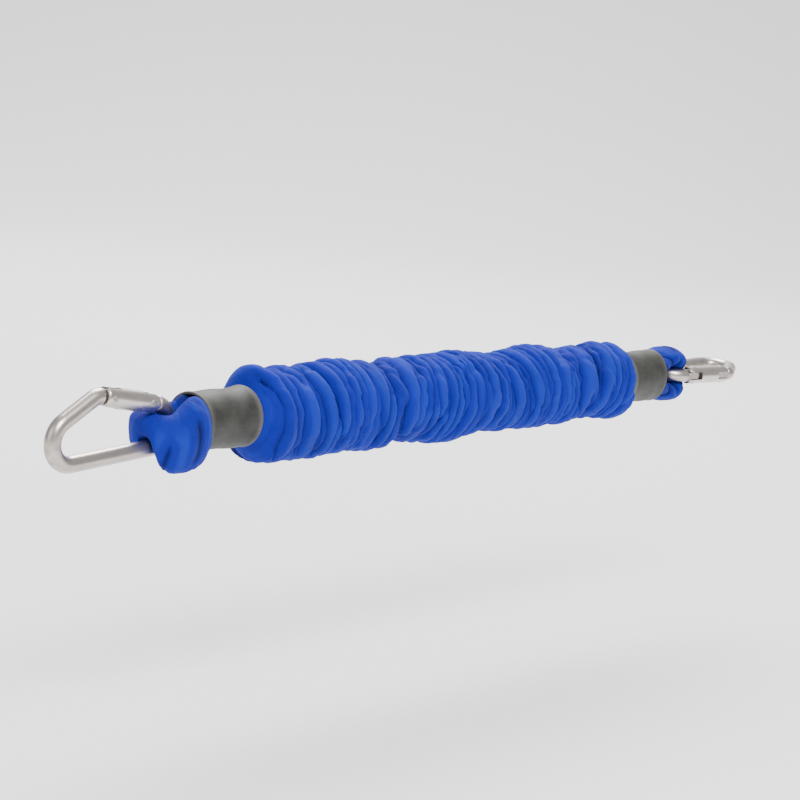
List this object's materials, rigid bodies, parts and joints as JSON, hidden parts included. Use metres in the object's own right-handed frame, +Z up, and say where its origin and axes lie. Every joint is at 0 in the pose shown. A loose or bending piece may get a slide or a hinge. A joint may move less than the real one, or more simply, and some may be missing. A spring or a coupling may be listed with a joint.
{
  "type": "resistance band",
  "caption": "Elastic resistance band: a gathered fabric sleeve over a rubber cord, with rubber collars and a steel spring hook with a hinged gate at each end.",
  "frame": {"origin": "where the near hook bears on its anchor, inside the bend at its wide end", "axes": "+X along the band to the far hook, +Z up with the near hook's gate on top; the far hook is turned a quarter turn round X"},
  "size_m": [0.429, 0.0302, 0.0302],
  "materials": {
    "hook_steel": "plated wire, warm, with fine drawing marks",
    "gate_steel": "plated, slightly brighter than the wire",
    "pin_steel": "plain cut ends",
    "spring_steel": "oiled spring wire",
    "cord_rubber": "natural latex",
    "crimp_aluminium": "pressed",
    "collar_rubber": "matt, slightly mottled",
    "sleeve_fabric": "royal blue woven, gathered"
  },
  "bodies": {
    "near_hook": {"near_hook_body": "hook_steel", "near_gate_rivet": "pin_steel"},
    "near_gate": {"near_gate": "gate_steel", "near_latch_pin": "pin_steel", "near_gate_spring": "spring_steel"},
    "near_plunger": {"near_gate_plunger": "pin_steel"},
    "near_end": {"near_crimp": "crimp_aluminium", "near_collar": "collar_rubber", "near_eye_cover": "sleeve_fabric", "elastic_cord": "cord_rubber", "sleeve_gathered": "sleeve_fabric"},
    "far_hook": {"far_hook_body": "hook_steel", "far_gate_rivet": "pin_steel"},
    "far_gate": {"far_gate": "gate_steel", "far_latch_pin": "pin_steel", "far_gate_spring": "spring_steel"},
    "far_plunger": {"far_gate_plunger": "pin_steel"},
    "far_end": {"far_crimp": "crimp_aluminium", "far_collar": "collar_rubber", "far_eye_cover": "sleeve_fabric"}
  },
  "joints": [
    {"name": "near_swivel", "type": "hinge", "parent": "near_hook", "child": "near_end", "pos_m": [0.051, 0, 0], "axis": [0, 0, 1], "range_deg": [-60, 60]},
    {"name": "stretch", "type": "slide", "parent": "near_end", "child": "far_end", "axis": [1, 0, 0], "range_m": [0, 0.22], "stiffness_N_per_m": 240, "deforming": ["elastic_cord", "sleeve_gathered"]},
    {"name": "far_swivel", "type": "hinge", "parent": "far_end", "child": "far_hook", "pos_m": [0.366, 0, 0], "axis": [0, 1, 0], "range_deg": [-60, 60]},
    {"name": "near_gate_hinge", "type": "hinge", "parent": "near_hook", "child": "near_gate", "pos_m": [0.03981, 0, 0.0086], "axis": [0, -1, 0], "range_deg": [0, 30], "stiffness_Nm_per_rad": 0.1, "springref_deg": -34.38},
    {"name": "near_plunger_slide", "type": "slide", "parent": "near_gate", "child": "near_plunger", "axis": [-0.9878, 0, 0.156], "range_m": [0, 0.0008], "deforming": ["near_gate_spring"]},
    {"name": "far_gate_hinge", "type": "hinge", "parent": "far_hook", "child": "far_gate", "pos_m": [0.37719, -0.0086, 0], "axis": [0, 0, 1], "range_deg": [0, 30], "stiffness_Nm_per_rad": 0.1, "springref_deg": -34.38},
    {"name": "far_plunger_slide", "type": "slide", "parent": "far_gate", "child": "far_plunger", "axis": [0.9878, -0.156, 0], "range_m": [0, 0.0008], "deforming": ["far_gate_spring"]}
  ],
  "couplings": [
    {"joint": "near_plunger_slide", "follows": "near_gate_hinge", "m_per_rad": 0.0015279},
    {"joint": "far_plunger_slide", "follows": "far_gate_hinge", "m_per_rad": 0.0015279}
  ]
}
